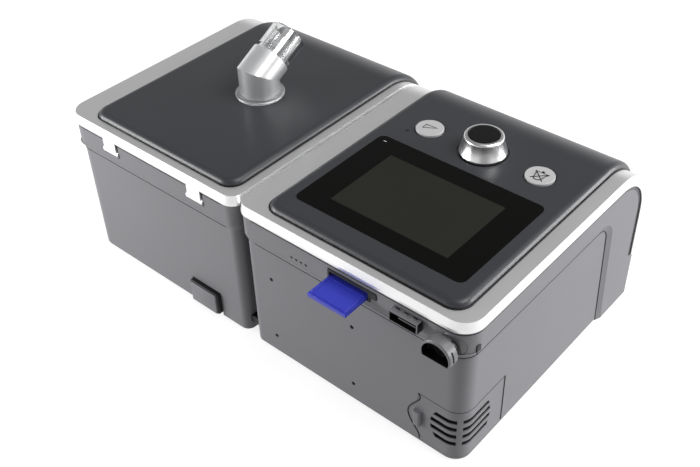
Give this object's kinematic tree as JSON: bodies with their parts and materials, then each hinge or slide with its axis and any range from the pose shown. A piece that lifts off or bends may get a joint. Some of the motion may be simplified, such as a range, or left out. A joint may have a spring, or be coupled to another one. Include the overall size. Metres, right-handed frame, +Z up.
{
  "type": "bilevel pap machine",
  "caption": "Bilevel breathing machine with a dial and screen on top, docked to a heated humidifier whose lid opens and carries a swivelling clear elbow.",
  "frame": {"origin": "on the table plane, at the middle of the outline seen from above", "axes": "+X along the long side from the main unit to the humidifier, +Y to the rear with the connectors, +Z up"},
  "size_m": [0.29, 0.1915, 0.1415],
  "materials": {
    "casing_grey": "fine matt grey",
    "silver_trim": "satin silver paint",
    "dark_panel": "satin dark grey",
    "screen_glass": "polished",
    "screen_black": "satin",
    "board_green": "satin",
    "black_plastic": "matt",
    "steel": "brushed",
    "knob_silver": "brushed",
    "key_grey": "satin",
    "light_green": "clear satin",
    "white_plastic": "matt",
    "soft_rubber": "soft",
    "filter_foam": "open foam",
    "card_blue": "satin",
    "heater_metal": "satin",
    "clear_plastic": "clear moulded plastic"
  },
  "bodies": {
    "main_unit": {"main_lower_casing": "casing_grey", "main_upper_casing": "casing_grey", "main_trim_frame": "silver_trim", "main_top_panel": "dark_panel", "screen_glass": "screen_glass", "lcd_module": "screen_black", "display_board": "board_green", "encoder_body": "steel", "tact_switches": "black_plastic", "indicator_light": "light_green", "main_board": "board_green", "card_slot_bezel": "black_plastic", "card_socket": "black_plastic", "comm_port_housing": "black_plastic", "dc_inlet_housing": "casing_grey", "dc_pin": "steel", "alarm_sounder": "black_plastic", "blower_lower_housing": "white_plastic", "blower_upper_housing": "white_plastic", "blower_motor": "black_plastic", "inlet_muffler": "black_plastic", "inlet_duct": "black_plastic", "outlet_hose": "soft_rubber", "air_outlet_spigot": "white_plastic", "humidifier_socket": "black_plastic", "filter_foam": "filter_foam", "main_feet": "soft_rubber", "main_screws": "steel"},
    "blower_rotor": {"motor_shaft": "steel", "impeller": "white_plastic"},
    "knob_plunger": {"encoder_plunger": "black_plastic"},
    "knob": {"encoder_shaft": "steel", "knob_skirt": "knob_silver", "knob_cap": "black_plastic"},
    "ramp_key": {"ramp_button": "key_grey"},
    "mute_key": {"mute_button": "key_grey"},
    "card": {"memory_card": "card_blue"},
    "filter_door": {"filter_cover": "casing_grey"},
    "humidifier": {"humidifier_lower_casing": "casing_grey", "humidifier_upper_casing": "casing_grey", "hinge_pins": "steel", "heater_insulator": "white_plastic", "heater_plate": "heater_metal", "tub_base_plate": "steel", "water_tub": "clear_plastic", "inlet_seal": "soft_rubber", "docking_plug": "black_plastic", "humidifier_feet": "soft_rubber", "humidifier_screws": "steel"},
    "dock_release": {"release_button": "black_plastic", "release_button_face": "casing_grey"},
    "lid": {"lid_frame": "silver_trim", "lid_panel": "dark_panel", "lid_liner": "white_plastic", "lid_seal": "soft_rubber", "elbow_seal": "soft_rubber"},
    "outlet_elbow": {"elbow": "clear_plastic", "elbow_retainer": "white_plastic"}
  },
  "joints": [
    {"name": "blower_spin", "type": "hinge", "parent": "main_unit", "child": "blower_rotor", "pos_m": [-0.078, -0.022, 0.046], "axis": [0, 0, 1], "continuous": true},
    {"name": "knob_press", "type": "slide", "parent": "main_unit", "child": "knob_plunger", "axis": [0, 0, -1], "range_m": [0, 0.0006], "stiffness_N_per_m": 1500, "springref_m": -0.002},
    {"name": "knob_turn", "type": "hinge", "parent": "knob_plunger", "child": "knob", "pos_m": [-0.07345, -0.0342, 0.105], "axis": [0, 0, 1], "continuous": true},
    {"name": "ramp_press", "type": "slide", "parent": "main_unit", "child": "ramp_key", "axis": [0, 0, -1], "range_m": [0, 0.0005], "stiffness_N_per_m": 800, "springref_m": -0.001},
    {"name": "mute_press", "type": "slide", "parent": "main_unit", "child": "mute_key", "axis": [0, 0, -1], "range_m": [0, 0.0005], "stiffness_N_per_m": 800, "springref_m": -0.001},
    {"name": "card_slide", "type": "slide", "parent": "main_unit", "child": "card", "axis": [0, 1, 0], "range_m": [-0.013, 0.018]},
    {"name": "filter_cover_pull", "type": "slide", "parent": "main_unit", "child": "filter_door", "axis": [-0.7071, 0.7071, 0], "range_m": [0, 0.025]},
    {"name": "humidifier_undock", "type": "slide", "parent": "main_unit", "child": "humidifier", "axis": [1, 0, 0], "range_m": [0, 0.04]},
    {"name": "release_press", "type": "slide", "parent": "humidifier", "child": "dock_release", "axis": [0, -1, 0], "range_m": [0, 0.0025], "stiffness_N_per_m": 400, "springref_m": -0.002},
    {"name": "lid_hinge", "type": "hinge", "parent": "humidifier", "child": "lid", "pos_m": [0.0747, 0.0764, 0.087], "axis": [-1, 0, 0], "range_deg": [0, 95]},
    {"name": "elbow_swivel", "type": "hinge", "parent": "lid", "child": "outlet_elbow", "pos_m": [0.0632, -0.0023, 0.1048], "axis": [0, 0, 1], "continuous": true}
  ]
}
